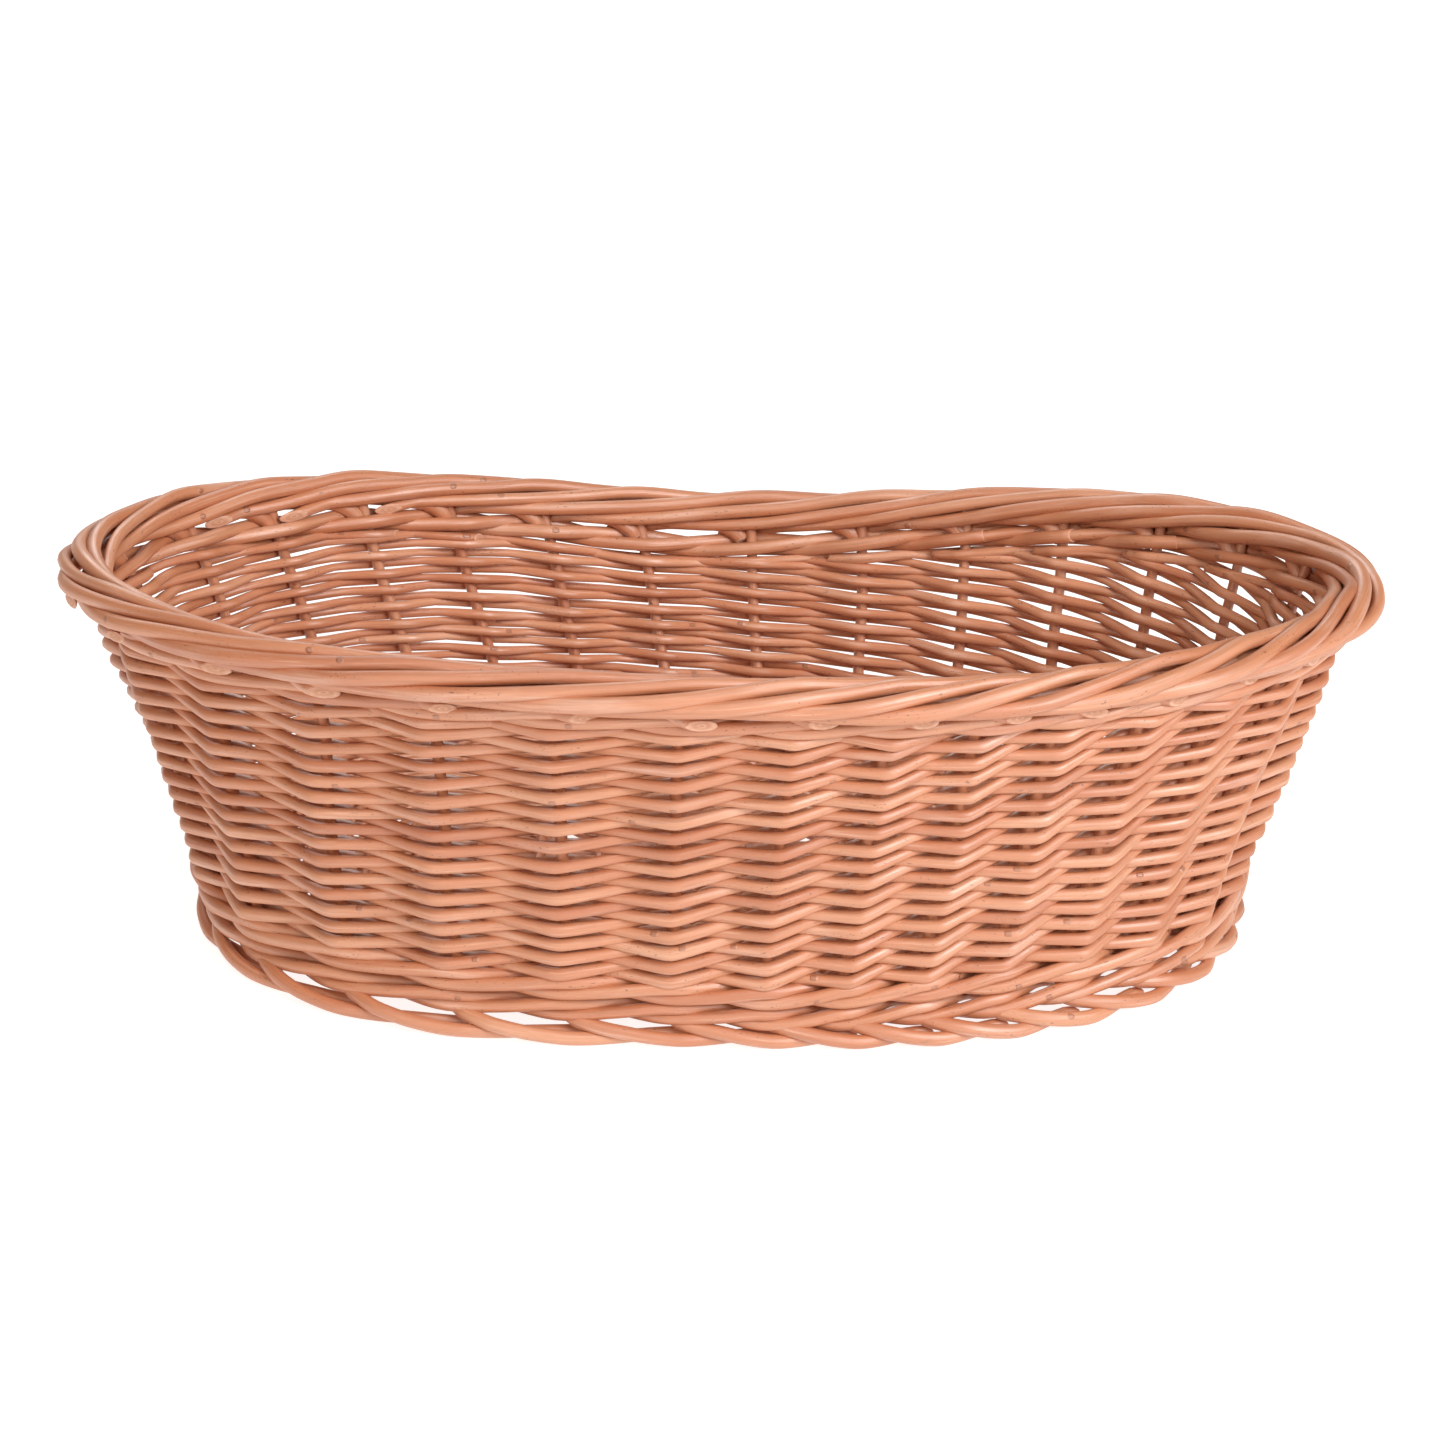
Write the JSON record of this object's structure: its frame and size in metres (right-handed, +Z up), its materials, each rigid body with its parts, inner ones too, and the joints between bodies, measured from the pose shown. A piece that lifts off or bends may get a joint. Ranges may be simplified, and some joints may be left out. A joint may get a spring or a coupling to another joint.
{
  "type": "wicker pet bed basket",
  "caption": "Oval open willow basket with a flared woven wall, a lower entrance side, a rolled rod border and a raised woven foot, used as a pet bed",
  "frame": {"origin": "on the floor under the middle of the oval", "axes": "+X along the length, +Y towards the low entrance side, +Z up"},
  "size_m": [0.56, 0.3462, 0.1825],
  "materials": {
    "foot_willow": "thick steamed buff willow rods, satin bark-free surface",
    "border_willow": "thick steamed buff willow rods, satin surface with fine lengthwise streaks",
    "weaver_willow": "thin steamed buff willow rods, satin surface with small dark bud marks",
    "wale_willow": "thin steamed buff willow rods, satin surface",
    "stake_willow": "steamed buff willow rods, satin surface",
    "stick_willow": "thick straight buff willow sticks, satin surface, pale cut ends",
    "base_weaver_willow": "thin steamed buff willow rods, satin surface"
  },
  "bodies": {
    "root": {"foot_border": "foot_willow", "base_long_stick_1": "stick_willow", "base_long_stick_2": "stick_willow", "base_long_stick_3": "stick_willow", "base_long_stick_4": "stick_willow", "base_cross_stick_1": "stick_willow", "base_cross_stick_2": "stick_willow", "base_cross_stick_3": "stick_willow", "base_cross_stick_4": "stick_willow", "base_cross_stick_5": "stick_willow", "base_cross_stick_6": "stick_willow", "base_cross_stick_7": "stick_willow", "base_cross_stick_8": "stick_willow", "base_cross_stick_9": "stick_willow", "base_weave": "base_weaver_willow", "stake_01": "stake_willow", "stake_02": "stake_willow", "stake_03": "stake_willow", "stake_04": "stake_willow", "stake_05": "stake_willow", "stake_06": "stake_willow", "stake_07": "stake_willow", "stake_08": "stake_willow", "stake_09": "stake_willow", "stake_10": "stake_willow", "stake_11": "stake_willow", "stake_12": "stake_willow", "stake_13": "stake_willow", "stake_14": "stake_willow", "stake_15": "stake_willow", "stake_16": "stake_willow", "stake_17": "stake_willow", "stake_18": "stake_willow", "stake_19": "stake_willow", "stake_20": "stake_willow", "stake_21": "stake_willow", "stake_22": "stake_willow", "stake_23": "stake_willow", "stake_24": "stake_willow", "stake_25": "stake_willow", "stake_26": "stake_willow", "stake_27": "stake_willow", "stake_28": "stake_willow", "stake_29": "stake_willow", "stake_30": "stake_willow", "upsett_wale": "wale_willow", "siding_weave": "weaver_willow", "top_wale": "wale_willow", "rolled_border": "border_willow"}
  },
  "joints": []
}
